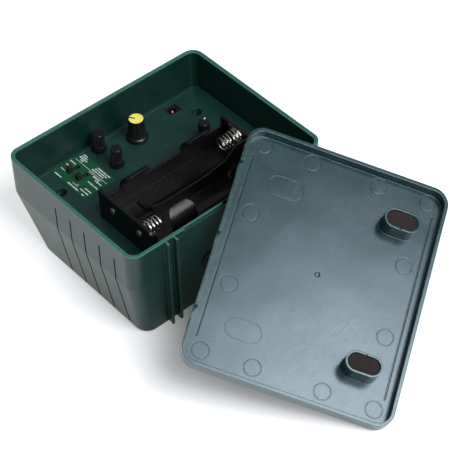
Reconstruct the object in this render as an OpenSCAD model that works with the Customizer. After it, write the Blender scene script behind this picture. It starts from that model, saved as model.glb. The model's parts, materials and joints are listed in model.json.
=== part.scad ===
// Irrigation controller: an open wall case with its control deck, battery holder,
// circuit board, knobs and switches, and the lid leaning on the case.
// +Z is up. The case stands on z = 0 and the origin is under the centre of its rim.

/* [Case] */
// Width of the rim along X
case_w = 165; // [164:0.5:168]
// Depth of the rim along Y
case_d = 134; // [134:0.5:137]
// Height of the rim above the ground
case_h = 75; // [74:0.5:80]
// Outer corner radius of the rim
corner_r = 9; // [7:0.5:10]
// Wall thickness of the upper case
wall_t = 2.8; // [2.4:0.1:3]
// Inset of each side wall at the bottom edge
side_taper = 6; // [4:0.5:7]
// Inset of the back wall at the bottom edge
back_taper = 20.8; // [18:0.2:21]

/* [Control deck] */
// Depth of the deck's face below the rim
deck_drop = 30.6; // [30:0.1:32]
// Thickness of the deck
deck_t = 2; // [1.8:0.1:2.2]
// Diameter of the two screw wells
well_d = 7.8; // [7:0.1:8]

/* [Battery holder] */
// Length of the holder along X
holder_l = 109.2; // [108:0.2:110]
// Radius of each cell cradle
bay_r = 13.1; // [12.9:0.1:13.2]
// Distance between the two bay axes
bay_pitch = 27.4; // [27.4:0.1:27.8]
// Height of the holder's end walls
holder_h = 24.4; // [24:0.1:26]

/* [Controls] */
// Height of the main knob
main_knob_h = 17.5; // [16:0.5:18]
// Height of the small knobs
small_knob_h = 15; // [13:0.5:16]
// Travel of each slide switch lever
lever_travel = 5.6; // [4:0.1:5.6]

/* [Lid] */
// How far the lid is larger than the rim, both ways
lid_over = 5.2; // [5:0.1:5.4]
// Height of the lid's skirt with its plate
lid_h = 10; // [9:0.5:11]
// Thickness of the lid's plate
lid_t = 2.2; // [2:0.1:2.4]
// Thickness of the lid's skirt
skirt_t = 2.4; // [2.2:0.1:2.5]

/* [Hidden] */
$fn = 96;
eps = 0.01;
fit_gap = 0.05;

// Case heights and walls
kink_z = case_h - deck_drop;
floor_t = 2.4;
low_wall_t = 2.6;
bottom_round = 1.6;
rim_step_h = 0.5;
rim_step_w = 1.4;
rim_tick_w = 0.5;
rim_tick_h = 0.3;
rim_tick_x = [-56.9];
rim_tick_y = [[-1, 36.7], [-1, -45.1], [1, 36.8]];
front_y = -case_d / 2;

// Front rails: three pairs of fins that a wall bracket slides over
rail_x = [-52.1, 0, 52.1];
rail_pitch = 6.8;
rail_t = 1.3;
rail_out = 4;
rail_flange = 0.5;
rail_flange_t = 1;
front_cut_x = 39.4;
front_cut_t = 1.4;
front_cut_h = 2;
cable_notch_w = 11.6;
cable_notch_h = 4;

// Grip grooves on the side walls
groove_y = [13.9, -1.6, -16.5, -32.2, -47.8];
groove_w = 1.4;
groove_depth = 1.1;
groove_top_z = case_h - 11.5;
groove_lean = 3.9;

// Valve lead socket through the front wall
socket_x = -21;
socket_z = 35;
socket_r = 4.4;
socket_bore_r = 2.5;

// Deck
deck_z = kink_z;
deck_under = deck_z - deck_t;
deck_gap = 0.4;
deck_w = case_w - 2 * wall_t - 2 * deck_gap;
deck_d = case_d - 2 * wall_t - 2 * deck_gap;
deck_r = corner_r - wall_t - deck_gap;
well_x = 60;
well_y = 39.6;
well_depth = 9;
well_wall = 1.6;
well_floor_t = 1.8;
well_floor_z = deck_z - well_depth;
screw_hole_r = 1.7;
screw_r = 1.45;
screw_head_r = 2.9;
screw_head_h = 2;
screw_l = 12;
post_r = 4;
post_top_z = well_floor_z - well_floor_t;
deck_pip = [[-9.4, 24.7], [38, 50.5], [61.5, 22.3], [-1.5, 55.9]];
gate_ring = [22, 25];

// Label
label_x = -39.1;
label_y = 42.4;
label_w = 27.2;
label_l = 36.4;
label_t = 0.3;

// Controls
main_pos = [12.2, 46.8];
left_back_pos = [-14.8, 55.2];
left_front_pos = [-15.2, 35.1];
right_pos = [46, 14.5];
knob_lift = 0.6;
knob_z = deck_z + knob_lift;
main_shaft_r = 3;
small_shaft_r = 2;
shaft_hole_r = 3.9;
main_base_r = 7.7;
main_top_r = 5.6;
cap_r = 5.1;
cap_t = 0.8;
cap_angle = 124;
small_base_r = 5.2;
small_body_r = 4.1;
right_pointer_angle = 39.5;
left_pointer_angle = 62;

// Slide switches
switch_x = -43.3;
switch_y = [51.6, 41.8];
slot_w = 3.5;
slot_play = 0.4;
lever_w = 3.2;
lever_d = 2.7;
lever_top = deck_z + 5;
slot_l = lever_w + lever_travel + 2 * slot_play + 0.3;

// Circuit board
board_z = 34;
board_t = 1.6;
board_top = board_z + board_t;
board_x = [-56, 56];
board_y = [7, 58.6];
board_post = [[-49, 12], [52, 31], [-20, 20], [30, 52]];
board_post_r = 2.8;
part_gap = 0.3;
switch_body_h = 6;
pot_body_h = deck_under - board_top - part_gap;

// DC jack
jack_pos = [49.1, 53.3];
jack_w = 9.2;
jack_d = 8.4;
jack_top = deck_z - 0.9;
jack_window_w = 10.4;
jack_window_d = 9;
jack_bore_r = 3.1;
jack_pin_r = 1.05;

// Battery holder
holder_back_y = 3.4;
holder_wall = 1.4;
bay_z = deck_z + 15.7;
back_bay_y = holder_back_y - holder_wall - bay_r - 0.1;
front_bay_y = back_bay_y - bay_pitch;
holder_front_y = front_bay_y - bay_r - holder_wall - 0.1;
holder_d = holder_back_y - holder_front_y;
end_wall_t = 2.2;
bay_l = holder_l - 2 * end_wall_t;
cradle_h = 10;
bay_floor = 2.6;
divider_t = 1.2;
divider_y = (back_bay_y + front_bay_y) / 2;
arm_x = [-37, 15];
arm_l = 20.5;
arm_angle_back = 72;
arm_angle_front = 66;
arm_corner_r = 5;
holder_seat = 0.6;
holder_screw_l = 11;
holder_screw = [[-24, -46], [24, -46]];
floor_pip = [[-9.1, -1.1], [22.4, -10.3]];
pocket_x = [-50, -29];
pocket_y = [-18, -3.6];
pocket_depth = 1.6;
wire_hole = [[-49.4, -9], [-49.4, -32.2]];
wire_hole_w = 5;

// Springs and contacts
spring_r = 5.7;
spring_tip_r = 4.9;
spring_wire_r = 0.5;
spring_turns = 4.5;
spring_l = 13.5;
spring_steps = 20;
plate_t = 0.5;
plate_w = 14;
plate_h = 15;
rivet_r = 1.5;
rivet_head_r = 2.2;
rivet_head_h = 0.7;

// Leads from the holder to the board, as tubes along hand-chosen routes
lead_r = 0.6;
red_route = [
    [-51.25, -7.8, 54.5], [-51.25, -7.8, 51], [-51.2, -7.8, 47], [-51, -7.6, 43.5],
    [-50.4, -6.6, 40.4], [-49.4, -4.4, 38.2], [-48, 0, 37.8], [-45.8, 5, 37.8],
    [-43.6, 9.6, 38], [-41.8, 13.4, 38.3], [-41.2, 16.4, 38.4], [-41.2, 18.85, 38.4]
];
black_route = [
    [-51.25, -31.2, 54.5], [-51.25, -31.2, 51], [-51.2, -31.2, 47], [-51, -31, 43.5],
    [-50.2, -30, 40.2], [-48.6, -27.4, 38.2], [-46.6, -23, 37.6], [-45, -17, 37.5],
    [-44, -11, 37.5], [-43, -4.6, 37.6], [-41.6, 2, 37.8], [-39.8, 8, 38],
    [-38.4, 12.6, 38.3], [-38, 16.4, 38.4], [-38, 18.85, 38.4]
];

// Lid
lid_w = case_w + lid_over;
lid_d = case_d + lid_over;
lid_r = corner_r + lid_over / 2;
lid_pos = [11.8, -134.6, 45.45];
lid_turn = [18.4, -18.16, 31.52];
lid_boss_x = [-50.5, 52];
lid_boss_y = -41.8;
lid_boss_w = 14.4;
lid_boss_l = 24.4;
lid_boss_h = 15.6;
lid_boss_wall = 1.4;
lid_pad_inset = 0.25;
lid_pad_drop = 0.4;
lid_notch_x = [-52.6, 0, 52.6];
lid_notch_w = 10.2;
lid_round = 1.5;
boss_slot_w = 1;
boss_slot_h = 1.2;
mark_x = 2;
ejector_r = 5.8;
ejector_ring = 0.5;
ejector_mark = 0.15;
ejector_place = [[74.2, 57.4], [74, 23.1], [25.6, 52.6]];
flow_mark = 0.08;
lid_groove_y = 62.4;
lid_groove_l = 132;
lid_groove_w = 0.9;
lid_groove_h = 0.7;

plastic = "#1d5443";
black_plastic = "#141517";
steel = "#c9c9c4";
brass = "#c9a14a";
board_green = "#1f6b3f";

// A rounded rectangle centred on the origin
module round_rect(w, d, r) {
    square([w - 2 * r, d], center = true);
    square([w, d - 2 * r], center = true);
    for (sx = [-1, 1], sy = [-1, 1])
        translate([sx * (w / 2 - r), sy * (d / 2 - r)]) circle(r);
}

// A stadium shape: long side along Y
module stadium(w, l) {
    square([w, l - w], center = true);
    for (s = [-1, 1])
        translate([0, s * (l - w) / 2]) circle(w / 2);
}

// A thin slice of the tapered lower body at height z, moved in by inset
module body_slice(inset, z) {
    k = max(0, (kink_z - z) / kink_z);
    translate([0, -back_taper * k / 2, z]) linear_extrude(eps)
        round_rect(case_w - 2 * side_taper * k - 2 * inset, case_d - back_taper * k - 2 * inset,
                   corner_r - inset, $fn = 48);
}

// The tapered lower body from z0 to z1, with its bottom edge rounded
module lower_body(inset, z0, z1)
    hull() {
        for (a = [0, 30, 60, 90])
            body_slice(inset + bottom_round * (1 - sin(a)), z0 + bottom_round * (1 - cos(a)));
        body_slice(inset, z1 - eps);
    }

// One grip groove on the -X wall
module grip_groove(y) {
    upper = [[-case_w / 2 - 2, groove_top_z], [-case_w / 2 + groove_depth, groove_top_z],
             [-case_w / 2 + groove_depth, kink_z - 1], [-case_w / 2 - 2, kink_z - 1]];
    lower = [[-case_w / 2 - 2, 0], [-case_w / 2 + groove_depth, 0],
             [-case_w / 2 + groove_depth + side_taper * 1.03, -kink_z * 1.03],
             [-case_w / 2 - 2, -kink_z * 1.03]];
    translate([0, y + groove_w / 2, 0]) rotate([90, 0, 0])
        linear_extrude(groove_w) polygon(upper);
    translate([0, y, kink_z]) rotate([-groove_lean, 0, 0]) translate([0, groove_w / 2, 0])
        rotate([90, 0, 0]) linear_extrude(groove_w) polygon(lower);
}

// One pair of rail fins on the front wall, up to height h
module rail_pair(x, h) {
    for (s = [-1, 1])
        translate([x + s * rail_pitch / 2, front_y, 0]) {
            translate([-rail_t / 2, -rail_out, 0])
                cube([rail_t, rail_out + 1, h]);
            translate([s > 0 ? rail_t / 2 - eps : -rail_t / 2 - rail_flange, -rail_out, 0])
                cube([rail_flange + eps, rail_flange_t, h]);
        }
}

module case_shell() color(plastic) difference() {
    union() {
        difference() {
            union() {
                lower_body(0, 0, kink_z);
                translate([0, 0, kink_z - eps]) linear_extrude(case_h - kink_z + eps)
                    round_rect(case_w, case_d, corner_r);
            }
            lower_body(low_wall_t, floor_t, kink_z + eps);
            // The upper walls run down to the ledge that the deck rests on
            translate([0, 0, deck_under]) linear_extrude(case_h)
                round_rect(case_w - 2 * wall_t, case_d - 2 * wall_t, corner_r - wall_t);
        }
        for (x = rail_x)
            rail_pair(x, x == 0 ? case_h - cable_notch_h : case_h);
        for (sx = [-1, 1])
            translate([sx * well_x, well_y, 1]) cylinder(r = post_r, h = post_top_z - 1);
        for (p = holder_screw)
            translate([p[0], p[1], 1]) cylinder(r = post_r, h = deck_under - 1);
    }
    // Stepped rim
    translate([0, 0, case_h - rim_step_h]) linear_extrude(2)
        round_rect(case_w - 2 * rim_step_w, case_d - 2 * rim_step_w, corner_r - rim_step_w);
    // Thinner lip and cable notch in the middle of the front rim
    translate([-front_cut_x, front_y - 1, case_h - front_cut_h])
        cube([2 * front_cut_x, front_cut_t + 1, front_cut_h + 1]);
    translate([-cable_notch_w / 2, front_y - 1, case_h - cable_notch_h])
        cube([cable_notch_w, wall_t + 2, cable_notch_h + 1]);
    // Parting ticks across the rim
    for (x = rim_tick_x)
        translate([x, case_d / 2 - wall_t - 1, case_h - rim_tick_h]) cube([rim_tick_w, wall_t + 2, 1]);
    for (p = rim_tick_y)
        translate([p[0] * (case_w - wall_t) / 2, p[1], case_h])
            cube([wall_t + 2, rim_tick_w, 2 * rim_tick_h], center = true);
    for (y = groove_y) {
        grip_groove(y);
        mirror([1, 0, 0]) grip_groove(y);
    }
    // Pilot bores in the screw posts
    for (sx = [-1, 1])
        translate([sx * well_x, well_y, post_top_z - screw_l])
            cylinder(r = screw_r + 0.02, h = screw_l + 1);
    for (p = holder_screw)
        translate([p[0], p[1], deck_under - screw_l])
            cylinder(r = screw_r + 0.02, h = screw_l + 1);
    // Socket bore
    translate([socket_x, front_y - 1, socket_z]) rotate([-90, 0, 0])
        cylinder(r = socket_r + 0.02, h = 8);
}

module control_deck() color(plastic) difference() {
    union() {
        translate([0, 0, deck_under]) linear_extrude(deck_t)
            round_rect(deck_w, deck_d, deck_r);
        for (sx = [-1, 1])
            translate([sx * well_x, well_y, post_top_z])
                cylinder(r = well_d / 2 + well_wall, h = deck_under - post_top_z + eps);
        for (p = board_post)
            translate([p[0], p[1], board_top])
                cylinder(r = board_post_r, h = deck_under - board_top + eps);
        // Thin raised line along the deck's back edge
        translate([-deck_w / 2 + deck_r, deck_d / 2 - 3, deck_z - eps])
            cube([deck_w - 2 * deck_r, 0.6, 0.4]);
        for (p = deck_pip)
            translate([p[0], p[1], deck_z - eps]) cylinder(r = 0.6, h = 0.3);
    }
    translate([gate_ring[0], gate_ring[1], deck_z - ejector_mark]) ring_cut(1.6);
    for (sx = [-1, 1])
        translate([sx * well_x, well_y, 0]) {
            translate([0, 0, well_floor_z]) cylinder(d = well_d, h = 20);
            cylinder(r = screw_hole_r, h = 60);
        }
    for (p = board_post)
        translate([p[0], p[1], board_top - 1]) cylinder(r = 1.02, h = 6);
    for (p = holder_screw)
        translate([p[0], p[1], deck_under - 1]) cylinder(r = screw_hole_r, h = deck_t + 2);
    for (p = [main_pos, left_back_pos, left_front_pos, right_pos])
        translate([p[0], p[1], deck_under - 1]) cylinder(r = shaft_hole_r, h = deck_t + 2);
    for (y = switch_y)
        switch_slot(y);
    for (p = wire_hole)
        translate([p[0] - wire_hole_w / 2, p[1] - wire_hole_w / 2, deck_under - 1])
            cube([wire_hole_w, wire_hole_w, deck_t + 2]);
    translate([jack_pos[0] - jack_window_w / 2, jack_pos[1] - jack_window_d / 2, deck_under - 1])
        cube([jack_window_w, jack_window_d, deck_t + 2]);
}

// The slot that a switch lever travels in
module switch_slot(y) {
    translate([switch_x - lever_w / 2 - slot_play, y - slot_w / 2, deck_under - 1])
        cube([slot_l, slot_w, deck_t + 3]);
}

module pan_screw(l) {
    cylinder(r = screw_r, h = l + eps);
    translate([0, 0, l]) difference() {
        cylinder(r = screw_head_r, h = screw_head_h);
        for (a = [0, 90])
            rotate(a) translate([-1.8, -0.35, screw_head_h - 0.9]) cube([3.6, 0.7, 2]);
    }
}

module deck_screws() color(steel)
    for (sx = [-1, 1])
        translate([sx * well_x, well_y, well_floor_z - screw_l + 1.5]) pan_screw(screw_l - 1.5);

module control_label() color(board_green) difference() {
    translate([label_x, label_y, deck_z]) linear_extrude(label_t)
        round_rect(label_w, label_l, 1);
    for (y = switch_y)
        switch_slot(y);
}

// Side profile of the holder's long walls, from the floor up
function wall_outline() = [
    [-holder_l / 2, 0], [-holder_l / 2, holder_h], [-51.8, holder_h], [-50.6, 16.4],
    [-38, 16.4], [-36, 15.2], [13, 15.2], [16, 17], [51.2, 17], [52, holder_h],
    [holder_l / 2, holder_h], [holder_l / 2, 0]
];

// One end wall, with its front top corner rounded
module end_wall(x) {
    r = 7;
    translate([x, 0, deck_z]) rotate([90, 0, 90]) linear_extrude(end_wall_t) {
        translate([holder_front_y, 0]) square([holder_d, holder_h - r]);
        translate([holder_front_y + r, 0]) square([holder_d - r, holder_h]);
        translate([holder_front_y + r, holder_h - r]) circle(r);
    }
}

// A retaining arm that curves over a cell: side is +1 on the back wall, -1 on the front
module cell_arm(x, axis_y, side, sweep) {
    intersection() {
        translate([x, axis_y, bay_z]) rotate([90, 0, 90]) linear_extrude(arm_l)
            intersection() {
                difference() {
                    circle(bay_r + holder_wall + 0.1);
                    circle(bay_r);
                }
                polygon([[0, -1], [side * 30, -1], [side * 30, 0],
                         [side * 30 * cos(sweep), 30 * sin(sweep)]]);
            }
        top = bay_z + (bay_r + holder_wall) * sin(sweep);
        translate([x + arm_l / 2, axis_y + side * 20, 0]) rotate([90, 0, 0])
            linear_extrude(40, center = true) {
                translate([0, top - 30 + eps]) square([arm_l - 2 * arm_corner_r, 60], center = true);
                translate([0, top - 30 - arm_corner_r]) square([arm_l, 60], center = true);
                for (s = [-1, 1])
                    translate([s * (arm_l / 2 - arm_corner_r), top - arm_corner_r]) circle(arm_corner_r);
            }
    }
}

module battery_holder() color(black_plastic) difference() {
    union() {
        difference() {
            union() {
                translate([-holder_l / 2, holder_front_y, deck_z])
                    cube([holder_l, holder_d, cradle_h]);
                for (y = [holder_front_y, holder_back_y - holder_wall])
                    translate([0, y + holder_wall, deck_z]) rotate([90, 0, 0])
                        linear_extrude(holder_wall) polygon(wall_outline());
                // Divider between the bays, open at its -X end and higher at its +X end
                translate([0, divider_y + divider_t / 2, deck_z]) rotate([90, 0, 0])
                    linear_extrude(divider_t)
                        polygon([[-33, 0], [-33, 15.2], [-24, 13], [11, 13], [31, 16], [41, 24],
                                 [bay_l / 2 + 1, 24], [bay_l / 2 + 1, 0]]);
            }
            for (y = [back_bay_y, front_bay_y]) {
                translate([-bay_l / 2, y, bay_z]) rotate([0, 90, 0]) cylinder(r = bay_r, h = bay_l);
                // The floor is flat from under the cell's axis to the +Y side of its bay
                translate([-bay_l / 2, y, deck_z + bay_floor]) cube([bay_l, bay_r + 0.1, 20]);
            }
            // Shallow pocket at the -X end of the back bay
            translate([pocket_x[0], pocket_y[0], deck_z + bay_floor - pocket_depth])
                cube([pocket_x[1] - pocket_x[0], pocket_y[1] - pocket_y[0], 20]);
        }
        for (p = floor_pip)
            translate([p[0], p[1], deck_z + bay_floor - eps]) cylinder(r = 0.9, h = 0.4);
        end_wall(-holder_l / 2);
        end_wall(holder_l / 2 - end_wall_t);
        for (x = arm_x) {
            cell_arm(x, back_bay_y, 1, arm_angle_back);
            cell_arm(x, front_bay_y, -1, arm_angle_front);
        }
    }
    for (p = holder_screw)
        translate([p[0], p[1], 0]) {
            cylinder(r = screw_hole_r, h = 60);
            translate([0, 0, deck_z + holder_seat]) cylinder(r = 3.2, h = 12);
        }
    for (p = wire_hole)
        translate([p[0] - wire_hole_w / 2, p[1] - wire_hole_w / 2, deck_z - 1])
            cube([wire_hole_w, wire_hole_w, 12]);
    // Rivet bores
    for (sx = [-1, 1], y = [back_bay_y, front_bay_y])
        translate([sx * holder_l / 2, y, bay_z]) rotate([0, 90, 0])
            cylinder(r = rivet_r + 0.02, h = 8, center = true);
}

module holder_screws() color(steel)
    for (p = holder_screw)
        translate([p[0], p[1], deck_z + holder_seat - holder_screw_l]) pan_screw(holder_screw_l);

// Points along a conical coil whose axis is +X
function coil_points() = [
    for (i = [0 : spring_turns * spring_steps])
        let (u = i / (spring_turns * spring_steps), a = 360 * i / spring_steps,
             r = spring_r + (spring_tip_r - spring_r) * u)
            [spring_wire_r + (spring_l - 2 * spring_wire_r) * u, r * cos(a), r * sin(a)]
];

function unit(v) = v / norm(v);
function tangent(p, i) = unit(p[min(i + 1, len(p) - 1)] - p[max(i - 1, 0)]);

// A round tube swept along a list of points; across is a direction no stretch runs along
module swept_tube(p, r, sides, across) {
    n = len(p);
    rings = [
        for (i = [0 : n - 1])
            let (t = tangent(p, i), a = unit(cross(t, across)), b = cross(t, a))
                for (k = [0 : sides - 1])
                    p[i] + r * (cos(360 * k / sides) * a + sin(360 * k / sides) * b)
    ];
    side_faces = [
        for (i = [0 : n - 2], k = [0 : sides - 1])
            [i * sides + k, (i + 1) * sides + k,
             (i + 1) * sides + (k + 1) % sides, i * sides + (k + 1) % sides]
    ];
    first_cap = [for (k = [0 : sides - 1]) k];
    last_cap = [for (k = [sides - 1 : -1 : 0]) (n - 1) * sides + k];
    polyhedron(points = rings, faces = concat(side_faces, [first_cap], [last_cap]), convexity = 8);
}

// A coil and the plate that it is welded to, with the plate's back at x = 0
module cell_spring() {
    translate([0, -plate_w / 2, -plate_h / 2]) cube([plate_t, plate_w, plate_h]);
    translate([plate_t - 0.1, 0, 0]) swept_tube(coil_points(), spring_wire_r, 10, [1, 0, 0.02]);
}

module cell_spring_back() color(steel)
    translate([bay_l / 2, back_bay_y, bay_z]) mirror([1, 0, 0]) cell_spring();

module cell_spring_front() color(steel)
    translate([-bay_l / 2, front_bay_y, bay_z]) cell_spring();

// A flat contact with a raised button, with its back at x = 0
module cell_contact() {
    translate([0, -plate_w / 2, -plate_h / 2]) cube([plate_t, plate_w, plate_h]);
    translate([plate_t - eps, 0, 0]) rotate([0, 90, 0]) cylinder(r1 = 3.4, r2 = 2.6, h = 1.2);
}

module cell_contact_back() color(steel)
    translate([-bay_l / 2, back_bay_y, bay_z]) cell_contact();

module cell_contact_front() color(steel)
    translate([bay_l / 2, front_bay_y, bay_z]) mirror([1, 0, 0]) cell_contact();

module contact_rivets() color(brass)
    for (sx = [-1, 1], y = [back_bay_y, front_bay_y])
        translate([sx * holder_l / 2, y, bay_z]) rotate([0, sx * 90, 0]) {
            translate([0, 0, -end_wall_t]) cylinder(r = rivet_r, h = end_wall_t + eps);
            rotate_extrude() polygon([[0, 0], [rivet_head_r, 0], [rivet_head_r, 0.3],
                                      [rivet_head_r - 0.6, rivet_head_h], [0, rivet_head_h]]);
        }

// Strap that joins the two bays behind the +X end wall
module series_link() color(steel)
    translate([holder_l / 2, front_bay_y - 4, bay_z - 4]) difference() {
        cube([0.4, bay_pitch + 8, 8]);
        for (y = [4, bay_pitch + 4])
            translate([0, y, 4]) rotate([0, 90, 0]) cylinder(r = rivet_head_r + 0.05, h = 3, center = true);
    }

module power_lead_red() color("#b3201c")
    swept_tube(red_route, lead_r, 8, [1, 0.1, 0.05]);

module power_lead_black() color("#1a1a1c")
    swept_tube(black_route, lead_r, 8, [1, 0.1, 0.05]);

module circuit_board() color(board_green) difference() {
    translate([board_x[0], board_y[0], board_z])
        cube([board_x[1] - board_x[0], board_y[1] - board_y[0], board_t]);
    for (sx = [-1, 1])
        translate([sx * well_x, well_y, board_z - 1])
            cylinder(r = well_d / 2 + well_wall + 0.4, h = board_t + 2);
    for (p = board_post)
        translate([p[0], p[1], board_z - 1]) cylinder(r = 1.3, h = board_t + 2);
}

module board_screws() color(steel)
    for (p = board_post)
        translate([p[0], p[1], board_z - 1.3]) {
            cylinder(r = 2, h = 1.3);
            translate([0, 0, 1.3 - eps]) cylinder(r = 1, h = 5.5);
        }

module board_block(x, y, w, d, h) {
    translate([x - w / 2, y - d / 2, board_top]) cube([w, d, h]);
}

module controller_chip() color("#222326") {
    board_block(-2, 20, 7.6, 10, 1.6);
    for (i = [0 : 6], s = [-1, 1])
        board_block(-2 + s * 4.3, 20 + (i - 3) * 1.27, 1.2, 0.5, 0.7);
}

module valve_relay() color("#2b4fa0") {
    board_block(30, 18, 12, 7.5, 5.6);
}

module filter_capacitors() color("#27303a") {
    for (x = [14, 20])
        translate([x, 17, board_top]) cylinder(r = 2.5, h = 5.8);
}

module battery_connector() color("#d8d4c8") {
    board_block(-39.5, 21.4, 8, 5, 4.4);
}

module valve_connector() color("#d8d4c8") {
    board_block(-6, 10.5, 8, 5, 5);
}

module dc_jack_body() color("#2a1614") difference() {
    translate([jack_pos[0] - jack_w / 2, jack_pos[1] - jack_d / 2, board_top])
        cube([jack_w, jack_d, jack_top - board_top]);
    translate([jack_pos[0], jack_pos[1], board_top + 1.2]) cylinder(r = jack_bore_r, h = 20);
}

module dc_jack_pin() color(steel)
    translate([jack_pos[0], jack_pos[1], board_top + 1.2]) {
        cylinder(r = jack_pin_r, h = jack_top - board_top - 2.2);
        translate([0, 0, jack_top - board_top - 2.2 - eps]) cylinder(r1 = jack_pin_r, r2 = 0.5, h = 0.6);
    }

// A potentiometer body with a blind bearing bore for its shaft
module pot_body(p, r) {
    translate([p[0], p[1], board_top]) difference() {
        union() {
            translate([-4.7, -6.4, 0]) cube([9.4, 10, pot_body_h - 0.8]);
            cylinder(r = r + 1.1, h = pot_body_h);
        }
        translate([0, 0, 1.5]) cylinder(r = r + fit_gap, h = pot_body_h);
    }
}

module pot_body_main() color("#3a4a5a") pot_body(main_pos, main_shaft_r);
module pot_body_left_back() color("#3a4a5a") pot_body(left_back_pos, small_shaft_r);
module pot_body_left_front() color("#3a4a5a") pot_body(left_front_pos, small_shaft_r);
module pot_body_right() color("#3a4a5a") pot_body(right_pos, small_shaft_r);

// A shaft from the bearing up into its knob
module pot_shaft(p, r, top_z) {
    z0 = board_top + 1.8;
    translate([p[0], p[1], z0]) cylinder(r = r, h = top_z - z0);
}

module pot_shaft_main() color(steel) pot_shaft(main_pos, main_shaft_r, knob_z + 10);
module pot_shaft_left_back() color("#e6e4dc") pot_shaft(left_back_pos, small_shaft_r, knob_z + 9);
module pot_shaft_left_front() color("#e6e4dc") pot_shaft(left_front_pos, small_shaft_r, knob_z + 9);
module pot_shaft_right() color("#e6e4dc") pot_shaft(right_pos, small_shaft_r, knob_z + 9);

module main_knob() color(black_plastic)
    translate([main_pos[0], main_pos[1], knob_z]) difference() {
        rotate_extrude() polygon([
            [0, 0], [main_base_r - 0.4, 0], [main_base_r, 0.5], [main_base_r, 1.7],
            [main_base_r - 0.4, 2.4], [main_base_r - 1.1, 2.9], [main_top_r, main_knob_h - 0.6],
            [main_top_r - 0.4, main_knob_h], [0, main_knob_h]]);
        translate([0, 0, -1]) cylinder(r = main_shaft_r + 0.02, h = 11.1);
        translate([0, 0, main_knob_h - cap_t]) cylinder(r = cap_r, h = 2);
        flutes(30, main_base_r - 1.1, main_top_r, 2.9, main_knob_h, 0.4);
    }

// Grip flutes round a slightly tapered knob
module flutes(count, r0, r1, z0, z1, r) {
    lean = atan((r0 - r1) / (z1 - z0));
    for (i = [0 : count - 1])
        rotate(i * 360 / count) translate([r0 + 0.12, 0, z0 + 0.6]) rotate([0, -lean, 0])
            cylinder(r = r, h = z1 - z0, $fn = 16);
}

module main_knob_cap() color("#f4e64a")
    translate([main_pos[0], main_pos[1], knob_z + main_knob_h - cap_t]) difference() {
        cylinder(r = cap_r - 0.02, h = cap_t + 0.15);
        rotate(cap_angle) translate([0.6, -0.6, -1]) cube([6, 1.2, 3]);
    }

// A small knob: a fluted body on a flared collar
module small_knob(p, angle, proud) color(black_plastic)
    translate([p[0], p[1], knob_z]) rotate(angle) difference() {
        rotate_extrude() polygon([
            [0, 0], [small_base_r - 0.3, 0], [small_base_r, 0.4], [small_base_r, 1.3],
            [small_base_r - 0.3, 1.9], [small_body_r + 0.35, 3.1], [small_body_r + 0.1, 4],
            [small_body_r, small_knob_h - 0.5], [small_body_r - 0.4, small_knob_h],
            [0, small_knob_h]]);
        translate([0, 0, -1]) cylinder(r = small_shaft_r + 0.02, h = 10.1);
        flutes(18, small_body_r + 0.15, small_body_r, 3.6, small_knob_h, 0.46);
        pointer_bar(0.02, proud);
    }

// The pointer inlay at +X of a knob; grow widens it for the pocket that holds it
module pointer_bar(grow, proud) {
    top = proud ? small_knob_h + 0.3 : small_knob_h - 0.8;
    translate([small_body_r - 1.1 - grow, -0.45 - grow, small_knob_h - 4])
        cube([1.3 + 2 * grow, 0.9 + 2 * grow, top - small_knob_h + 4]);
}

module small_pointer(p, angle, proud) color("white")
    translate([p[0], p[1], knob_z]) rotate(angle) pointer_bar(0, proud);

module knob_left_back() small_knob(left_back_pos, left_pointer_angle, false);
module knob_left_front() small_knob(left_front_pos, left_pointer_angle, false);
module knob_right() small_knob(right_pos, right_pointer_angle, true);
module pointer_left_back() small_pointer(left_back_pos, left_pointer_angle, false);
module pointer_left_front() small_pointer(left_front_pos, left_pointer_angle, false);
module pointer_right() small_pointer(right_pos, right_pointer_angle, true);

// A slide switch: an open-topped frame on the board
module switch_body(y) {
    w = slot_l + 2.4;
    x0 = switch_x - lever_w / 2 - slot_play - 1.2;
    translate([x0, y - 3.2, board_top]) difference() {
        cube([w, 6.4, switch_body_h]);
        translate([1.2, 3.2 - slot_w / 2, 2]) cube([slot_l, slot_w, 10]);
    }
}

// The lever that slides in the switch
module switch_lever(y) {
    translate([switch_x - lever_w / 2, y - lever_d / 2, board_top + 2.4])
        cube([lever_w, lever_d, lever_top - board_top - 2.4]);
}

module switch_body_back() color("#8d9096") switch_body(switch_y[0]);
module switch_body_front() color("#8d9096") switch_body(switch_y[1]);
module switch_lever_back() color(black_plastic) switch_lever(switch_y[0]);
module switch_lever_front() color(black_plastic) switch_lever(switch_y[1]);

module valve_socket() color(black_plastic)
    translate([socket_x, front_y, socket_z]) rotate([90, 0, 0]) difference() {
        union() {
            translate([0, 0, -13]) cylinder(r = socket_r, h = 13);
            cylinder(r = socket_r + 1.3, h = 1.2);
        }
        translate([0, 0, -11]) cylinder(r = socket_bore_r, h = 20);
    }

module valve_socket_nut() color(steel)
    translate([socket_x, front_y + low_wall_t + 0.05, socket_z]) rotate([-90, 0, 0]) difference() {
        cylinder(r = socket_r + 2, h = 2.4, $fn = 6);
        translate([0, 0, -1]) cylinder(r = socket_r + 0.02, h = 5);
    }

// Places what is modelled with its inside face up onto the leaning lid
module on_lid() {
    translate(lid_pos) rotate(lid_turn) children();
}

// Profile of a slab of width w and height h whose two lower corners are rounded
module slab_profile(w, h) {
    translate([-w / 2 + lid_round, 0]) square([w - 2 * lid_round, h]);
    translate([-w / 2, lid_round]) square([w, h - lid_round]);
    for (s = [-1, 1])
        translate([s * (w / 2 - lid_round), lid_round]) circle(lid_round);
}

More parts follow.
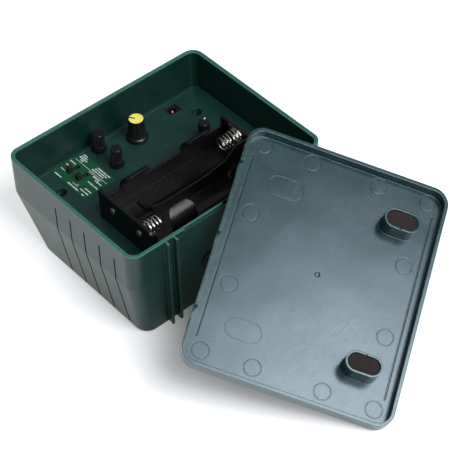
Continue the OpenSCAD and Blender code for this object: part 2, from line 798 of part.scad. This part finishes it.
// The lid's outer shape: a rounded rectangle whose lower edge is rounded all round
module lid_block() {
    rotate([90, 0, 90]) linear_extrude(lid_w - 2 * lid_r, center = true) slab_profile(lid_d, lid_h);
    rotate([90, 0, 0]) linear_extrude(lid_d - 2 * lid_r, center = true) slab_profile(lid_w, lid_h);
    for (sx = [-1, 1], sy = [-1, 1])
        translate([sx * (lid_w / 2 - lid_r), sy * (lid_d / 2 - lid_r), 0]) rotate_extrude()
            intersection() {
                slab_profile(2 * lid_r, lid_h);
                square([lid_r, lid_h]);
            }
}

module lid() color(plastic) on_lid() difference() {
    union() {
        difference() {
            lid_block();
            translate([0, 0, lid_t]) linear_extrude(lid_h)
                round_rect(lid_w - 2 * skirt_t, lid_d - 2 * skirt_t, lid_r - skirt_t);
        }
        for (x = lid_boss_x)
            translate([x, lid_boss_y, lid_t - eps]) linear_extrude(lid_boss_h - lid_t)
                stadium(lid_boss_w, lid_boss_l);
    }
    for (x = lid_boss_x) {
        translate([x, lid_boss_y, lid_t]) linear_extrude(lid_boss_h)
            stadium(lid_boss_w - 2 * lid_boss_wall, lid_boss_l - 2 * lid_boss_wall);
        // Small slot in the wall that faces the other boss
        translate([x - sign(x) * (lid_boss_w - lid_boss_wall) / 2, lid_boss_y, lid_boss_h])
            cube([lid_boss_wall + 1, boss_slot_w, 2 * boss_slot_h], center = true);
    }
    for (x = lid_notch_x)
        translate([x - lid_notch_w / 2, lid_d / 2 - skirt_t - 1, lid_t + 1])
            cube([lid_notch_w, skirt_t + 2, lid_h]);
    // Long thin channels inside both long sides
    for (s = [-1, 1])
        translate([mark_x, s * lid_groove_y, lid_t - lid_groove_h])
            linear_extrude(2) square([lid_groove_l, lid_groove_w], center = true);
    // Round ejector marks
    for (sx = [-1, 1], p = ejector_place, sy = [-1, 1])
        translate([sx * p[0] + mark_x, sy * p[1], lid_t - ejector_mark])
            ring_cut(ejector_r);
    // Faint ovals opposite the bosses, where the mould has inserts
    for (x = lid_boss_x)
        translate([x, -lid_boss_y - 6.5, lid_t - flow_mark]) linear_extrude(1) difference() {
            stadium(lid_boss_w, lid_boss_l);
            stadium(lid_boss_w - 2 * ejector_ring, lid_boss_l - 2 * ejector_ring);
        }
    // Moulding gate dimple
    translate([mark_x, 0, lid_t - 0.8]) cylinder(r1 = 1.2, r2 = 2, h = 1);
}

// A thin ring-shaped cutter
module ring_cut(r) difference() {
    cylinder(r = r, h = 1);
    cylinder(r = r - ejector_ring, h = 3, center = true);
}

module lid_pad(x) color("#2b2422") on_lid() {
    inset = 2 * (lid_boss_wall + lid_pad_inset);
    translate([x, lid_boss_y, lid_t + fit_gap]) linear_extrude(lid_boss_h - lid_t - lid_pad_drop)
        stadium(lid_boss_w - inset, lid_boss_l - inset);
}

module lid_pad_left() lid_pad(lid_boss_x[0]);
module lid_pad_right() lid_pad(lid_boss_x[1]);

case_shell();
control_deck();
deck_screws();
control_label();
battery_holder();
holder_screws();
cell_spring_back();
cell_spring_front();
cell_contact_back();
cell_contact_front();
contact_rivets();
series_link();
power_lead_red();
power_lead_black();
circuit_board();
board_screws();
controller_chip();
valve_relay();
filter_capacitors();
battery_connector();
valve_connector();
dc_jack_body();
dc_jack_pin();
pot_body_main();
pot_body_left_back();
pot_body_left_front();
pot_body_right();
pot_shaft_main();
pot_shaft_left_back();
pot_shaft_left_front();
pot_shaft_right();
main_knob();
main_knob_cap();
knob_left_back();
knob_left_front();
knob_right();
pointer_left_back();
pointer_left_front();
pointer_right();
switch_body_back();
switch_body_front();
switch_lever_back();
switch_lever_front();
valve_socket();
valve_socket_nut();
lid();
lid_pad_left();
lid_pad_right();
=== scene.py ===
"""Looks of the irrigation controller: moulded plastic, metal springs, foam and a label."""

import json
import math
import random

import bmesh
import bpy
from mathutils import Matrix, Vector, noise


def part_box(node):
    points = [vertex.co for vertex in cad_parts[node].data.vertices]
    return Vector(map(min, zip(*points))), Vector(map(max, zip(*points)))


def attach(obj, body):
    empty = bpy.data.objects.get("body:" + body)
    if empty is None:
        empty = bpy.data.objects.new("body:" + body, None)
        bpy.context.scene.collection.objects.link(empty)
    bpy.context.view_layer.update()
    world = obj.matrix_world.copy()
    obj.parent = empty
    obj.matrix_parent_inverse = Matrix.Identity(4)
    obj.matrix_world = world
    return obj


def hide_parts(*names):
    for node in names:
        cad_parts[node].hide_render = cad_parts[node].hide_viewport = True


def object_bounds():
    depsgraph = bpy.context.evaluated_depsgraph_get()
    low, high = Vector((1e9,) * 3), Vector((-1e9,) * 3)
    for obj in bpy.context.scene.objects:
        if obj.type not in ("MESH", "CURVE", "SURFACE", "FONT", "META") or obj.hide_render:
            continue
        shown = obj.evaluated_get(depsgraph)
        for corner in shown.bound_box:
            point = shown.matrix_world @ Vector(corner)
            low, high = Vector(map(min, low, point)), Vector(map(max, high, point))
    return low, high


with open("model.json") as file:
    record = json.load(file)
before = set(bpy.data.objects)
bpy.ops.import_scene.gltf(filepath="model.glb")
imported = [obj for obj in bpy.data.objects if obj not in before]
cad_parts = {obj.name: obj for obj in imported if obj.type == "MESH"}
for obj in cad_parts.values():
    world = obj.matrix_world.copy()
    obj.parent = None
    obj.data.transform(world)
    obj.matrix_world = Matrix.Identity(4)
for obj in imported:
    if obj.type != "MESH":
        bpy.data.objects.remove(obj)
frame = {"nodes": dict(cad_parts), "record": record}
cad_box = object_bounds()
nodes = frame["nodes"]
MM = 0.001


# ---------------------------------------------------------------- shader helpers

BEVEL_SAMPLES = 6

class Shader:
    """A material under construction: its node tree, its Principled shader and its texture space."""

    def __init__(self, name):
        self.material = bpy.data.materials.new(name)
        self.material.use_nodes = True
        self.tree = self.material.node_tree
        self.bsdf = self.tree.nodes["Principled BSDF"]
        self.space = self.add("ShaderNodeTexCoord").outputs["Object"]

    def add(self, kind, **values):
        node = self.tree.nodes.new(kind)
        for key, value in values.items():
            if key in node.inputs:
                node.inputs[key].default_value = value
            else:
                setattr(node, key, value)
        return node

    def link(self, source, target):
        self.tree.links.new(source, target)

    def stretched(self, scale):
        """The texture space scaled by a different amount along each axis."""
        mapping = self.add("ShaderNodeMapping", Scale=scale)
        self.link(self.space, mapping.inputs["Vector"])
        return mapping.outputs["Vector"]

    def noise(self, size, detail=2.0, rough=0.5, space=None):
        """Noise whose blotches are about size millimetres across, from 0 to 1."""
        texture = self.add("ShaderNodeTexNoise", Scale=1 / (size * MM), Detail=detail,
                           Roughness=rough)
        self.link(space or self.space, texture.inputs["Vector"])
        return texture.outputs["Fac"]

    def ramp(self, value, low, high, out_low=0.0, out_high=1.0):
        """value mapped from low..high to out_low..out_high, and clamped."""
        node = self.add("ShaderNodeMapRange", **{"From Min": low, "From Max": high,
                                                 "To Min": out_low, "To Max": out_high})
        self.link(value, node.inputs["Value"])
        return node.outputs["Result"]

    def math(self, operation, a, b):
        """A sum or product of two values. Each is a number or a socket."""
        node = self.add("ShaderNodeMath", operation=operation)
        for place, value in enumerate((a, b)):
            if isinstance(value, (int, float)):
                node.inputs[place].default_value = value
            else:
                self.link(value, node.inputs[place])
        return node.outputs["Value"]

    def mix(self, factor, a, b):
        """A colour between a and b. Each is an RGB triple or a socket."""
        node = self.add("ShaderNodeMix", data_type="RGBA")
        for place, value in ((6, a), (7, b)):
            if isinstance(value, tuple):
                node.inputs[place].default_value = (*value, 1)
            else:
                self.link(value, node.inputs[place])
        self.link(factor, node.inputs[0])
        return node.outputs[2]

    def bump(self, height, depth, normal=None):
        """A bump depth millimetres deep on top of normal."""
        node = self.add("ShaderNodeBump", Distance=depth * MM, Strength=1.0)
        self.link(height, node.inputs["Height"])
        if normal is not None:
            self.link(normal, node.inputs["Normal"])
        return node.outputs["Normal"]

    def soft_edges(self, radius):
        """Normals that turn smoothly over sharp edges, and a mask that is 1 along those edges."""
        bevel = self.add("ShaderNodeBevel", samples=BEVEL_SAMPLES, Radius=radius * MM)
        geometry = self.add("ShaderNodeNewGeometry")
        dot = self.add("ShaderNodeVectorMath", operation="DOT_PRODUCT")
        self.link(bevel.outputs["Normal"], dot.inputs[0])
        self.link(geometry.outputs["Normal"], dot.inputs[1])
        return bevel.outputs["Normal"], self.ramp(dot.outputs["Value"], 0.995, 0.8)

    def set(self, **values):
        """Constants set directly on the Principled shader's sockets."""
        for key, value in values.items():
            self.bsdf.inputs[key.replace("_", " ")].default_value = value

    def finish(self, color=None, roughness=None, normal=None):
        """Links what is given to the shader, and returns the material."""
        for key, value in (("Base Color", color), ("Roughness", roughness), ("Normal", normal)):
            if value is not None:
                self.link(value, self.bsdf.inputs[key])
        return self.material


# Sizes of the marks on moulded plastic, in mm
STREAK_SIZE = 7
EDGE_PATCH_SIZE = 2.2
SPECK_SIZE = 0.75
DUST_PATCH_SIZE = 16
# Height over which the painted highlight on a lit top fades in
HIGHLIGHT_BAND = 0.2
# Flow streaks are squeezed this much along each axis
STREAK_SQUEEZE = (1, 5, 1)
DUST_COLOR = (0.5, 0.5, 0.48)
PLASTIC_IOR = 1.5


def moulded(name, dark, light, edge, roughness, grain=0.012, grain_size=0.35, warp=0.0,
            warp_size=30, blotch=22, edge_radius=0.35, dust=0.0, highlight_above=None,
            shine=0.5, shine_tint=(1, 1, 1)):
    """Injection-moulded plastic: cloudy colour, fine grain, soft edges painted lighter in patches,
    partly as wear and partly as a painted highlight, and dust.

    Lengths are in mm. What lies higher than the given height is painted in the edge colour: a
    painted highlight on the lit top.
    """
    s = Shader(name)
    normal, edges = s.soft_edges(edge_radius)
    clouds = s.ramp(s.noise(blotch, 4, 0.55), 0.32, 0.68)
    color = s.mix(clouds, dark, light)
    streaks = s.ramp(s.noise(STREAK_SIZE, 3, 0.6, s.stretched(STREAK_SQUEEZE)), 0.35, 0.75)
    patchiness = s.ramp(s.noise(EDGE_PATCH_SIZE, 3), 0.3, 0.62, 0.35, 1.0)
    # Edges painted lighter in patches: partly wear, partly a painted highlight where rounded edges
    # catch the light.
    color = s.mix(s.math("MULTIPLY", edges, patchiness), color, edge)
    if dust:
        specks = s.ramp(s.noise(SPECK_SIZE, 1, 0.4), 0.74, 0.8)
        patches = s.ramp(s.noise(DUST_PATCH_SIZE, 2), 0.45, 0.7, 0.1, 1.0)
        dusty = s.math("MULTIPLY", s.math("MULTIPLY", specks, patches), dust)
        color = s.mix(dusty, color, DUST_COLOR)
    # The top painted in the edge colour: a painted highlight where it faces the light.
    if highlight_above:
        height = s.add("ShaderNodeSeparateXYZ")
        s.link(s.space, height.inputs["Vector"])
        on_top = s.ramp(height.outputs["Z"], (highlight_above - HIGHLIGHT_BAND) * MM, highlight_above * MM)
        color = s.mix(s.math("MULTIPLY", on_top, s.ramp(patchiness, 0.35, 1.0, 0.7, 1.0)), color, edge)
    if warp:
        normal = s.bump(s.noise(warp_size, 1.5, 0.4), warp, normal)
    normal = s.bump(s.noise(grain_size, 2, 0.5), grain, normal)
    polish = s.math("ADD", s.math("MULTIPLY", clouds, 0.4), s.math("MULTIPLY", streaks, 0.6))
    rough = s.ramp(polish, 0, 1, *roughness)
    s.set(IOR=PLASTIC_IOR, Specular_IOR_Level=shine, Specular_Tint=(*shine_tint, 1))
    return s.finish(color, rough, normal)


TARNISH_COLOR = (0.3, 0.24, 0.16)
BRUSH_SIZE = 0.5
STAIN_SIZE = 2.5


def metal(name, dark, light, roughness, brushed=(1, 1, 1), tarnish=0.25):
    """Plated metal with fine brushing and a little tarnish in blotches."""
    s = Shader(name)
    normal, _ = s.soft_edges(0.12)
    lines = s.noise(BRUSH_SIZE, 4, 0.6, s.stretched(brushed))
    color = s.mix(s.ramp(lines, 0.3, 0.7), dark, light)
    stains = s.ramp(s.noise(STAIN_SIZE, 4, 0.6), 0.5, 0.75, 0.0, tarnish)
    color = s.mix(stains, color, TARNISH_COLOR)
    rough = s.ramp(lines, 0.3, 0.7, *roughness)
    s.set(Metallic=1.0)
    return s.finish(color, rough, s.bump(lines, 0.004, normal))


TRACK_SPACING = 26


def fibre_board(name):
    """Solder mask over copper tracks: broad pale-green runs under a dark green film."""
    s = Shader(name)
    normal, _ = s.soft_edges(0.1)
    tracks = s.add("ShaderNodeTexBrick", Scale=1 / (TRACK_SPACING * MM),
                   **{"Mortar Size": 0.03, "Mortar Smooth": 0.3})
    s.link(s.space, tracks.inputs["Vector"])
    runs = s.ramp(tracks.outputs["Fac"], 0.2, 0.8)
    color = s.mix(s.ramp(s.noise(9, 3), 0.3, 0.7), (0.012, 0.11, 0.045), (0.018, 0.15, 0.06))
    color = s.mix(runs, color, (0.035, 0.24, 0.1))
    rough = s.ramp(s.noise(1.5), 0.3, 0.7, 0.25, 0.4)
    return s.finish(color, rough, s.bump(runs, 0.03, normal))


def printed_film(name):
    """The label's film: saturated green with a faint ink grain and a satin face."""
    s = Shader(name)
    normal, edges = s.soft_edges(0.15)
    ink = s.ramp(s.noise(0.6, 3, 0.6), 0.3, 0.7)
    color = s.mix(ink, (0.001, 0.055, 0.022), (0.002, 0.085, 0.036))
    # The film's edges painted lighter: a painted highlight.
    color = s.mix(edges, color, (0.01, 0.16, 0.08))
    rough = s.ramp(s.noise(5, 2), 0.3, 0.7, 0.38, 0.5)
    return s.finish(color, rough, s.bump(s.noise(0.5), 0.006, normal))


def print_ink(name, color):
    """Matt printing ink, faded in patches and slightly uneven."""
    s = Shader(name)
    faded = tuple(0.72 * c for c in color)
    patchiness = s.ramp(s.noise(0.5, 3, 0.6), 0.35, 0.6)
    return s.finish(s.mix(patchiness, faded, color), s.ramp(s.noise(1.2), 0.3, 0.7, 0.5, 0.65))


FOAM_PIT_SIZE = 0.55


def foam(name):
    """Open-cell foam: dark brown-black with pits about half a millimetre across."""
    s = Shader(name)
    pits = s.add("ShaderNodeTexVoronoi", Scale=1 / (FOAM_PIT_SIZE * MM), feature="F1")
    s.link(s.space, pits.inputs["Vector"])
    depth = s.ramp(pits.outputs["Distance"], 0.05, 0.6)
    cloud = s.ramp(s.noise(3.5, 3), 0.3, 0.7)
    color = s.mix(cloud, (0.012, 0.007, 0.008), (0.026, 0.016, 0.017))
    # Pit hollows painted darker: painted shade in the pits.
    color = s.mix(depth, (0.006, 0.004, 0.004), color)
    normal = s.bump(depth, 0.14)
    normal = s.bump(s.noise(1.1, 3), 0.08, normal)
    s.set(Specular_IOR_Level=0.3, Sheen_Weight=0.12, Sheen_Roughness=0.5)
    return s.finish(color, s.ramp(cloud, 0, 1, 0.8, 0.95), normal)


def sleeve(name, dark, light):
    """Wire insulation or a capacitor's sleeve: smooth, with a slight orange-peel."""
    s = Shader(name)
    color = s.mix(s.ramp(s.noise(3, 2), 0.35, 0.65), dark, light)
    return s.finish(color, s.ramp(s.noise(1.0), 0.3, 0.7, 0.3, 0.45), s.bump(s.noise(0.8), 0.02))


# ---------------------------------------------------------------- materials of the CAD nodes

GREEN_DARK = (0.0018, 0.0195, 0.014)
GREEN_LIGHT = (0.003, 0.0265, 0.0195)
GREEN_EDGE = (0.045, 0.165, 0.128)
# Height of the top of the case's rim, just under its highest points, in mm; above it the rim is
# painted lighter as a painted highlight
RIM_HIGHLIGHT_HEIGHT = 74.4

case_green = moulded("case_green", GREEN_DARK, GREEN_LIGHT, GREEN_EDGE, (0.3, 0.4), grain=0.010,
                     warp=0.12, edge_radius=0.45, dust=0.35, highlight_above=RIM_HIGHLIGHT_HEIGHT,
                     shine_tint=(0.82, 1.0, 0.95))
deck_green = moulded("deck_green", (0.004, 0.030, 0.025), (0.006, 0.040, 0.034),
                     (0.04, 0.13, 0.10), (0.34, 0.46), warp=0.1, edge_radius=0.25, dust=0.5)
lid_green = moulded("lid_green", (0.003, 0.024, 0.026), (0.005, 0.032, 0.035),
                    (0.06, 0.16, 0.145), (0.2, 0.28), grain=0.004, warp=0.4, warp_size=42,
                    edge_radius=0.7, dust=0.25, shine=0.85, shine_tint=(0.76, 0.89, 1.0))
holder_black = moulded("holder_black", (0.002, 0.0018, 0.0025), (0.004, 0.0035, 0.0045),
                       (0.05, 0.045, 0.05), (0.2, 0.32), grain=0.006, warp=0.06, warp_size=14,
                       edge_radius=0.25, dust=0.3)
knob_black = moulded("knob_black", (0.0025, 0.002, 0.003), (0.005, 0.0045, 0.0055),
                     (0.05, 0.045, 0.05), (0.26, 0.38), grain=0.006, edge_radius=0.3)
lever_black = moulded("lever_black", (0.006, 0.005, 0.005), (0.012, 0.01, 0.01),
                      (0.16, 0.03, 0.03), (0.4, 0.5))
cap_yellow = moulded("cap_yellow", (0.88, 0.79, 0.12), (0.96, 0.88, 0.19), (1.0, 0.92, 0.4),
                     (0.42, 0.52), grain=0.004, blotch=6, edge_radius=0.2)
pointer_white = moulded("pointer_white", (0.72, 0.72, 0.7), (0.85, 0.85, 0.84),
                        (0.9, 0.9, 0.9), (0.4, 0.5), blotch=3, edge_radius=0.1)
jack_brown = moulded("jack_brown", (0.009, 0.004, 0.004), (0.02, 0.008, 0.007),
                     (0.06, 0.03, 0.025), (0.3, 0.45), blotch=4, edge_radius=0.2)
shaft_white = moulded("shaft_white", (0.6, 0.59, 0.54), (0.72, 0.71, 0.66), (0.8, 0.79, 0.75),
                      (0.4, 0.5), blotch=4)
connector_white = moulded("connector_white", (0.58, 0.56, 0.49), (0.7, 0.68, 0.6),
                          (0.8, 0.78, 0.7), (0.4, 0.5), blotch=4)
pot_grey = moulded("pot_grey", (0.05, 0.07, 0.1), (0.08, 0.11, 0.15), (0.2, 0.25, 0.3),
                   (0.35, 0.5), blotch=5)
chip_black = moulded("chip_black", (0.008, 0.008, 0.009), (0.014, 0.014, 0.016),
                     (0.05, 0.05, 0.05), (0.45, 0.6), grain=0.02, grain_size=0.2, blotch=4)
relay_blue = moulded("relay_blue", (0.012, 0.045, 0.25), (0.02, 0.07, 0.34), (0.08, 0.17, 0.5),
                     (0.25, 0.35), blotch=5)

MATERIALS = {
    "green_plastic": case_green,
    "black_plastic": holder_black,
    "knob_black": knob_black,
    "lever_black": lever_black,
    "cap_yellow": cap_yellow,
    "pointer_white": pointer_white,
    "label_green": printed_film("label_film"),
    "screw_steel": metal("screw_steel", (0.35, 0.35, 0.34), (0.6, 0.6, 0.58), (0.25, 0.45)),
    "spring_steel": metal("spring_steel", (0.78, 0.76, 0.7), (0.95, 0.94, 0.9), (0.12, 0.24),
                          tarnish=0.12),
    "rivet_brass": metal("rivet_brass", (0.8, 0.7, 0.5), (0.98, 0.92, 0.78), (0.35, 0.5)),
    "red_lead": sleeve("red_lead", (0.3, 0.008, 0.008), (0.42, 0.015, 0.012)),
    "black_lead": sleeve("black_lead", (0.006, 0.006, 0.007), (0.014, 0.014, 0.015)),
    "board_green": fibre_board("board_green"),
    "chip_black": chip_black,
    "relay_blue": relay_blue,
    "capacitor_sleeve": sleeve("capacitor_sleeve", (0.01, 0.012, 0.02), (0.02, 0.025, 0.04)),
    "connector_white": connector_white,
    "jack_brown": jack_brown,
    "pot_grey": pot_grey,
    "shaft_white": shaft_white,
    "switch_tin": metal("switch_tin", (0.4, 0.4, 0.39), (0.62, 0.62, 0.6), (0.3, 0.5),
                        brushed=(1, 14, 1)),
    "foam_black": foam("foam_black"),
}
# Nodes whose colour differs from the rest of their slot
pin_metal = metal("pin_metal", (0.3, 0.28, 0.25), (0.5, 0.47, 0.42), (0.4, 0.55))
OWN_MATERIAL = {"control_deck": deck_green, "lid": lid_green, "dc_jack_pin": pin_metal}

for part in frame["record"]["subparts"]:
    cad = nodes[part["node"]]
    cad.data.materials.clear()
    cad.data.materials.append(OWN_MATERIAL.get(part["node"], MATERIALS[part["material_slot"]]))


# ---------------------------------------------------------------- mesh helpers

def piece(name, mesh, material, body):
    """A new object in the scene that rides on a CAD body."""
    mesh.materials.clear()
    mesh.materials.append(material)
    obj = bpy.data.objects.new(name, mesh)
    bpy.context.scene.collection.objects.link(obj)
    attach(obj, body)
    return obj


def rounded_bar(bm, x, y, w, h, z0, z1, corner, steps=3):
    """Adds a flat bar with rounded corners, centred on x, y, between z0 and z1, in metres."""
    outline = []
    for turn, (sx, sy) in enumerate(((1, 1), (-1, 1), (-1, -1), (1, -1))):
        for i in range(steps + 1):
            angle = math.radians(90 * turn + 90 * i / steps)
            outline.append((x + sx * (w / 2 - corner) + corner * math.cos(angle),
                            y + sy * (h / 2 - corner) + corner * math.sin(angle)))
    low = [bm.verts.new((px, py, z0)) for px, py in outline]
    high = [bm.verts.new((px, py, z1)) for px, py in outline]
    bm.faces.new(list(reversed(low)))
    bm.faces.new(high)
    count = len(outline)
    for i in range(count):
        j = (i + 1) % count
        bm.faces.new((low[i], low[j], high[j], high[i]))


def mesh_from(bm, name):
    """The finished mesh of bm, which is freed."""
    mesh = bpy.data.meshes.new(name)
    bm.to_mesh(mesh)
    bm.free()
    return mesh


# ---------------------------------------------------------------- print on the label

# Rows of generic dashes in place of the words: place across, start and end along Y, in mm
PRINT_ROWS = [
    (-26.0, 54.5, 58.5), (-27.6, 52.5, 59.0), (-29.2, 51.0, 59.5), (-30.8, 53.0, 57.0),
    (-27.2, 28.0, 41.5), (-29.0, 29.5, 42.0), (-30.8, 31.0, 43.0),
    (-34.8, 30.5, 37.0), (-36.4, 26.0, 33.5), (-36.2, 54.5, 60.5),
    (-40.4, 25.0, 35.5), (-40.4, 56.0, 59.5), (-45.4, 54.5, 59.5),
    (-46.0, 25.0, 31.5), (-48.6, 25.0, 33.5), (-51.4, 51.0, 58.0),
    (-50.9, 33.0, 44.0), (-51.2, 26.5, 29.5),
]
PRINT_RULES = [(-32.6, 25.0, 59.5), (-33.8, 29.0, 43.0), (-47.4, 36.5, 38.6), (-48.6, 36.5, 42.0)]
DASH_HEIGHT = 1.05
DASH_HEIGHT_RANGE = (0.75, 1.0)
DASH_LENGTHS = (0.5, 1.9)
DASH_GAPS = (0.25, 0.6)
SHORTEST_DASH = 0.5
DASH_CORNER = 0.2
RULE_WIDTH = 0.3
RULE_CORNER = 0.12
PRINT_LIFT = 0.03
PRINT_SEED = 5


def label_print():
    """White dashes and rules on the label, each a thin raised bar of ink."""
    low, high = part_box("control_label")
    z0, z1 = high.z, high.z + PRINT_LIFT * MM
    rng = random.Random(PRINT_SEED)
    bm = bmesh.new()
    for x, start, end in PRINT_ROWS:
        y = start
        while y < end - SHORTEST_DASH:
            length = min(rng.uniform(*DASH_LENGTHS), end - y)
            height = DASH_HEIGHT * rng.uniform(*DASH_HEIGHT_RANGE)
            rounded_bar(bm, x * MM, (y + length / 2) * MM, height * MM, length * MM,
                        z0, z1, DASH_CORNER * MM)
            y += length + rng.uniform(*DASH_GAPS)
    for x, start, end in PRINT_RULES:
        rounded_bar(bm, x * MM, (start + end) / 2 * MM, RULE_WIDTH * MM, (end - start) * MM,
                    z0, z1, RULE_CORNER * MM)
    ink = print_ink("ink_white", (0.8, 0.84, 0.8))
    piece("label_print", mesh_from(bm, "label_print"), ink, "case")


# ---------------------------------------------------------------- foam pads

PAD_VOXEL = 0.6
PAD_SMOOTHING = 5
PAD_SMOOTHING_FACTOR = 0.5
# The face's dents: depth and the sizes of the broad and fine ones in mm, the fine ones' share,
# and how much of the noise leaves the face as it is
DENT_DEPTH = 0.18
DENT_SIZE = 1.3
FINE_DENT_SIZE = 0.6
FINE_DENT_SHARE = 0.6
DENT_THRESHOLD = 0.1


def foam_pad(side):
    """A foam block in its boss, made from the CAD solid: soft edges and a slightly pitted face."""
    node_name = "lid_pad_" + side
    mesh = nodes[node_name].data.copy()
    mesh.name = "foam_pad_" + side
    obj = piece("foam_pad_" + side, mesh, MATERIALS["foam_black"], "lid_body")
    remesh = obj.modifiers.new("voxels", "REMESH")
    remesh.mode = "VOXEL"
    remesh.voxel_size = PAD_VOXEL * MM
    remesh.use_smooth_shade = True
    smooth = obj.modifiers.new("soft_edges", "SMOOTH")
    smooth.iterations = PAD_SMOOTHING
    smooth.factor = PAD_SMOOTHING_FACTOR
    graph = bpy.context.evaluated_depsgraph_get()
    made = bpy.data.meshes.new_from_object(obj.evaluated_get(graph))
    obj.modifiers.clear()
    obj.data = made
    normals = [v.normal.copy() for v in made.vertices]
    for vert, normal in zip(made.vertices, normals):
        dent = (noise.noise(vert.co / (DENT_SIZE * MM))
                + FINE_DENT_SHARE * noise.noise(vert.co / (FINE_DENT_SIZE * MM)))
        vert.co += normal * min(0.0, dent - DENT_THRESHOLD) * DENT_DEPTH * MM
    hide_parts(node_name)


# ---------------------------------------------------------------- pointer on the main knob's cap

# The slot's direction in degrees from X, and the bar's place from the middle of the cap in mm
CAP_ANGLE = 124
POINTER_START = 1.0
POINTER_END = 5.0
POINTER_WIDTH = 1.1
POINTER_CORNER = 0.2
# How far the bar's top and bottom lie under the cap's face
POINTER_SINK = 0.03
POINTER_BOTTOM = 0.6


def cap_pointer():
    """The black pointer that fills the slot in the yellow cap, almost flush with its face."""
    low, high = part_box("main_knob_cap")
    bm = bmesh.new()
    rounded_bar(bm, (POINTER_START + POINTER_END) / 2 * MM, 0,
                (POINTER_END - POINTER_START) * MM, POINTER_WIDTH * MM,
                high.z - POINTER_BOTTOM * MM, high.z - POINTER_SINK * MM, POINTER_CORNER * MM)
    turn = Matrix.Rotation(math.radians(CAP_ANGLE), 4, "Z")
    middle = Matrix.Translation(((low.x + high.x) / 2, (low.y + high.y) / 2, 0))
    bmesh.ops.transform(bm, matrix=middle @ turn, verts=bm.verts)
    piece("cap_pointer", mesh_from(bm, "cap_pointer"), knob_black, "main_knob_body")


label_print()
cap_pointer()
for side in ("left", "right"):
    foam_pad(side)


# ---------------------------------------------------------------- floor, lights and camera

FLOOR_HALF = 4.0
# The paper glows less near the case's front wall, whose face is dark in the photo: the middle
# of the dim patch, the distances where it starts and ends in metres, and the glow at each
DIM_MIDDLE = (0.02, -0.10, 0.0)
DIM_REACH = (0.06, 0.17)
GLOW = (0.04, 0.6)
GLOW_COLOR = (0.98, 0.99, 1.0, 1)


def floor_material():
    """White paper with faint tone changes, which glows to keep the shadows pale."""
    s = Shader("paper_floor")
    tone = s.ramp(s.noise(240, 2), 0.3, 0.7)
    offset = s.add("ShaderNodeVectorMath", operation="SUBTRACT")
    s.link(s.space, offset.inputs[0])
    offset.inputs[1].default_value = DIM_MIDDLE
    reach = s.add("ShaderNodeVectorMath", operation="LENGTH")
    s.link(offset.outputs["Vector"], reach.inputs[0])
    s.set(Emission_Color=GLOW_COLOR)
    s.link(s.ramp(reach.outputs["Value"], *DIM_REACH, *GLOW), s.bsdf.inputs["Emission Strength"])
    color = s.mix(tone, (0.86, 0.86, 0.87), (0.88, 0.88, 0.885))
    return s.finish(color, s.ramp(tone, 0, 1, 0.6, 0.7))


def paper_floor():
    """A broad flat sheet of pale paper under the object."""
    bm = bmesh.new()
    bmesh.ops.create_grid(bm, x_segments=12, y_segments=12, size=FLOOR_HALF)
    mesh = mesh_from(bm, "paper_floor")
    mesh.materials.append(floor_material())
    floor = bpy.data.objects.new("paper_floor", mesh)
    bpy.context.scene.collection.objects.link(floor)


# The softbox hangs in front of and above the object, so that its far edge falls across the
# reflection in the cover, which the photo shows bright below and dark above. In metres and watts
KEY_DIRECTION = (0.07, -0.62, 0.78)
KEY_DISTANCE = 1.44
KEY_SIZE = (1.0, 0.94)
KEY_POWER = 27
KEY_COLOR = (0.95, 0.97, 1.0)
AIR_COLOR = (0.97, 0.98, 1.0, 1)
AIR_STRENGTH = 0.22


def softbox(name, aim, direction, distance, size, power, color):
    """A rectangular area light that faces aim from direction."""
    light = bpy.data.lights.new(name, "AREA")
    light.shape = "RECTANGLE"
    light.size, light.size_y = size
    light.energy = power
    light.color = color
    obj = bpy.data.objects.new(name, light)
    bpy.context.scene.collection.objects.link(obj)
    towards = Vector(direction).normalized()
    obj.location = Vector(aim) + towards * distance
    obj.rotation_euler = towards.to_track_quat("Z", "Y").to_euler()


def studio():
    """One softbox, and a dim even light from all around."""
    centre = (cad_box[0] + cad_box[1]) / 2
    softbox("key_softbox", centre, KEY_DIRECTION, KEY_DISTANCE, KEY_SIZE, KEY_POWER, KEY_COLOR)
    world = bpy.data.worlds.new("studio_air")
    world.use_nodes = True
    background = world.node_tree.nodes["Background"]
    background.inputs["Color"].default_value = AIR_COLOR
    background.inputs["Strength"].default_value = AIR_STRENGTH
    bpy.context.scene.world = world
    bpy.context.scene.view_settings.view_transform = "Standard"


# In metres, with the roll in degrees and the lens and the sensor's width in mm
CAMERA_PLACE = Vector((-0.50523, -0.66762, 0.84829))
CAMERA_TARGET = Vector((0.0291, -0.0249, 0.0))
CAMERA_ROLL = -1.98
CAMERA_LENS = 136.63
CAMERA_SENSOR = 36


def photo_camera():
    """A camera at the photo's place, aimed as the photo is."""
    data = bpy.data.cameras.new("camera")
    data.lens = CAMERA_LENS
    data.sensor_width = CAMERA_SENSOR
    camera = bpy.data.objects.new("camera", data)
    bpy.context.scene.collection.objects.link(camera)
    look = (CAMERA_TARGET - CAMERA_PLACE).to_track_quat("-Z", "Y").to_matrix().to_4x4()
    roll = Matrix.Rotation(math.radians(CAMERA_ROLL), 4, "Z")
    camera.matrix_world = Matrix.Translation(CAMERA_PLACE) @ look @ roll
    bpy.context.scene.camera = camera


paper_floor()
studio()
photo_camera()
